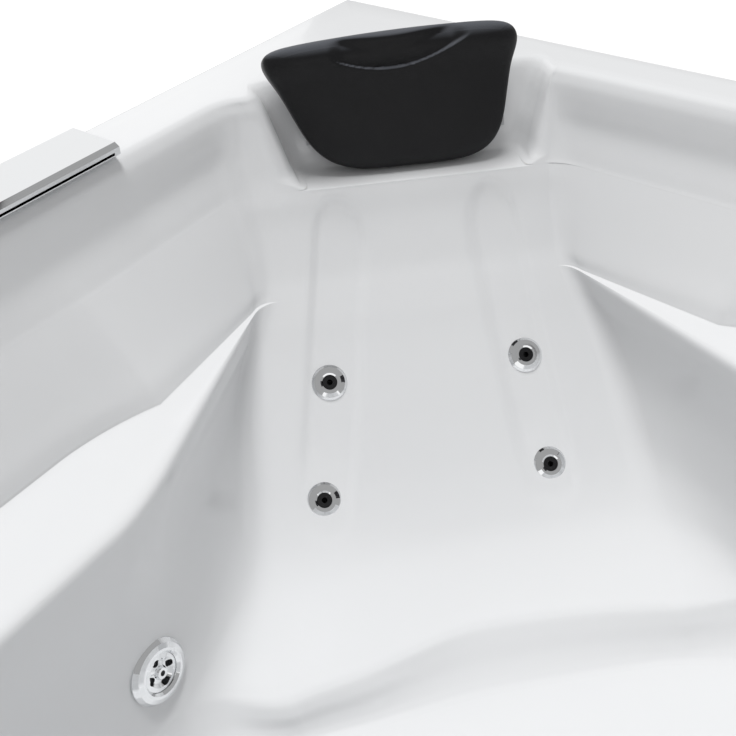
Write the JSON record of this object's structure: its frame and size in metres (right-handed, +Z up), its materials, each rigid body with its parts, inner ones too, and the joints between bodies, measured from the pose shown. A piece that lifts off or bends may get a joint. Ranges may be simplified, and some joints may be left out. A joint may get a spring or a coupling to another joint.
{
  "type": "corner jetted bathtub",
  "caption": "Corner jetted bathtub with curved front panel, head pillow, hydro-massage jets, waterfall filler and pump on a levelling frame",
  "frame": {"origin": "centre of the bounding box in plan, on the floor under the levelling feet", "axes": "+Z up; the back wall is on +Y and the left wall on -X, so the curved front faces +X and -Y"},
  "size_m": [1.4, 1.4, 0.6976],
  "materials": {
    "acrylic": "gloss",
    "panel": "gloss",
    "pillow_skin": "satin",
    "chrome": "polished",
    "jet_plastic": "satin",
    "pipe_white": "satin",
    "valve_brass": "satin",
    "motor_paint": "satin",
    "pump_plastic": "satin",
    "frame_steel": "satin",
    "foot_rubber": "matte"
  },
  "bodies": {
    "bath": {"shell": "acrylic", "front_panel": "panel", "back_jet_faces": "chrome", "back_jet_bodies": "jet_plastic", "back_jet_nuts": "jet_plastic", "side_jet_faces": "chrome", "side_jet_bodies": "jet_plastic", "side_jet_nuts": "jet_plastic", "suction_cover": "chrome", "suction_body": "jet_plastic", "suction_nut": "jet_plastic", "overflow_body": "jet_plastic", "overflow_nut": "jet_plastic", "drain_flange": "chrome", "drain_body": "jet_plastic", "overflow_pipe": "pipe_white", "waste_outlet": "pipe_white", "waterfall_spout": "chrome", "hot_valve": "valve_brass", "cold_valve": "valve_brass", "spout_tail": "pipe_white", "air_valve": "jet_plastic", "button_housing": "chrome", "pump_motor": "motor_paint", "pump_wet_end": "pump_plastic", "pump_base": "pump_plastic", "terminal_box": "pump_plastic", "suction_pipe": "pipe_white", "water_pipes": "pipe_white", "rail_left": "frame_steel", "rail_back": "frame_steel", "rail_ends": "frame_steel", "rail_front": "frame_steel", "cross_tie": "frame_steel", "pump_rail": "frame_steel", "deck_posts": "frame_steel", "floor_props": "frame_steel", "levelling_feet": "foot_rubber", "foot_locknuts": "frame_steel", "panel_clips": "frame_steel", "panel_screws": "frame_steel", "pillow_plate": "pump_plastic"},
    "nozzle_upper_left": {"back_jet_nozzle_upper_left": "chrome"},
    "nozzle_upper_right": {"back_jet_nozzle_upper_right": "chrome"},
    "nozzle_lower_left": {"back_jet_nozzle_lower_left": "chrome"},
    "nozzle_lower_right": {"back_jet_nozzle_lower_right": "chrome"},
    "rotor_rear_left": {"side_jet_rotor_rear_left": "chrome"},
    "rotor_front_left": {"side_jet_rotor_front_left": "chrome"},
    "rotor_rear_right": {"side_jet_rotor_rear_right": "chrome"},
    "rotor_front_right": {"side_jet_rotor_front_right": "chrome"},
    "pump_impeller": {"pump_rotor": "pump_plastic"},
    "hot_tap": {"hot_handle": "chrome"},
    "cold_tap": {"cold_handle": "chrome"},
    "air_control": {"air_control_knob": "chrome"},
    "push_button": {"start_button": "chrome"},
    "waste_control": {"overflow_knob": "chrome"},
    "waste_plug": {"drain_plug": "chrome"},
    "headrest": {"pillow": "pillow_skin", "pillow_pegs": "pump_plastic"}
  },
  "joints": [
    {"name": "nozzle_upper_left_aim", "type": "hinge", "parent": "bath", "child": "nozzle_upper_left", "pos_m": [-0.40373, 0.22126, 0.34082], "axis": [0.7047, 0.7094, -0.0035], "range_deg": [-12, 12]},
    {"name": "nozzle_upper_right_aim", "type": "hinge", "parent": "bath", "child": "nozzle_upper_right", "pos_m": [-0.22554, 0.39951, 0.34082], "axis": [0.7093, 0.7049, 0.0033], "range_deg": [-12, 12]},
    {"name": "nozzle_lower_left_aim", "type": "hinge", "parent": "bath", "child": "nozzle_lower_left", "pos_m": [-0.34902, 0.12716, 0.24669], "axis": [0.6986, 0.7154, -0.0135], "range_deg": [-12, 12]},
    {"name": "nozzle_lower_right_aim", "type": "hinge", "parent": "bath", "child": "nozzle_lower_right", "pos_m": [-0.14718, 0.32999, 0.2467], "axis": [0.714, 0.7001, 0.0112], "range_deg": [-12, 12]},
    {"name": "rotor_rear_left_spin", "type": "hinge", "parent": "bath", "child": "rotor_rear_left", "pos_m": [-0.36738, -0.14503, 0.22788], "axis": [0.9548, 0.0638, 0.2902], "continuous": true},
    {"name": "rotor_front_left_spin", "type": "hinge", "parent": "bath", "child": "rotor_front_left", "pos_m": [-0.36652, -0.385, 0.2279], "axis": [0.9662, 0, 0.2577], "continuous": true},
    {"name": "rotor_rear_right_spin", "type": "hinge", "parent": "bath", "child": "rotor_rear_right", "pos_m": [0.14503, 0.36738, 0.22788], "axis": [-0.0638, -0.9548, 0.2902], "continuous": true},
    {"name": "rotor_front_right_spin", "type": "hinge", "parent": "bath", "child": "rotor_front_right", "pos_m": [0.385, 0.36652, 0.2279], "axis": [0, -0.9662, 0.2577], "continuous": true},
    {"name": "pump_spin", "type": "hinge", "parent": "bath", "child": "pump_impeller", "pos_m": [-0.64, 0.518, 0.19645], "axis": [1, 0, 0], "continuous": true},
    {"name": "hot_tap_turn", "type": "hinge", "parent": "bath", "child": "hot_tap", "pos_m": [-0.663, -0.2, 0.62], "axis": [0, 0, 1], "range_deg": [0, 90]},
    {"name": "cold_tap_turn", "type": "hinge", "parent": "bath", "child": "cold_tap", "pos_m": [-0.663, -0.285, 0.62], "axis": [0, 0, 1], "range_deg": [0, 90]},
    {"name": "air_control_turn", "type": "hinge", "parent": "bath", "child": "air_control", "pos_m": [0.06, 0.663, 0.62], "axis": [0, 0, 1], "range_deg": [0, 180]},
    {"name": "button_press", "type": "slide", "parent": "bath", "child": "push_button", "axis": [0, 0, -1], "range_m": [0, 0.004], "stiffness_N_per_m": 300, "springref_m": -0.004},
    {"name": "waste_control_turn", "type": "hinge", "parent": "bath", "child": "waste_control", "pos_m": [0.33205, -0.33205, 0.50993], "axis": [-0.6974, 0.6974, 0.1649], "range_deg": [0, 90]},
    {"name": "waste_plug_lift", "type": "slide", "parent": "bath", "child": "waste_plug", "axis": [0, 0, 1], "range_m": [0, 0.008]},
    {"name": "headrest_pull", "type": "slide", "parent": "bath", "child": "headrest", "axis": [0.6401, -0.6401, 0.4249], "range_m": [0, 0.06]}
  ],
  "couplings": [
    {"joint": "waste_plug_lift", "follows": "waste_control_turn", "m_per_rad": 0.005088}
  ]
}
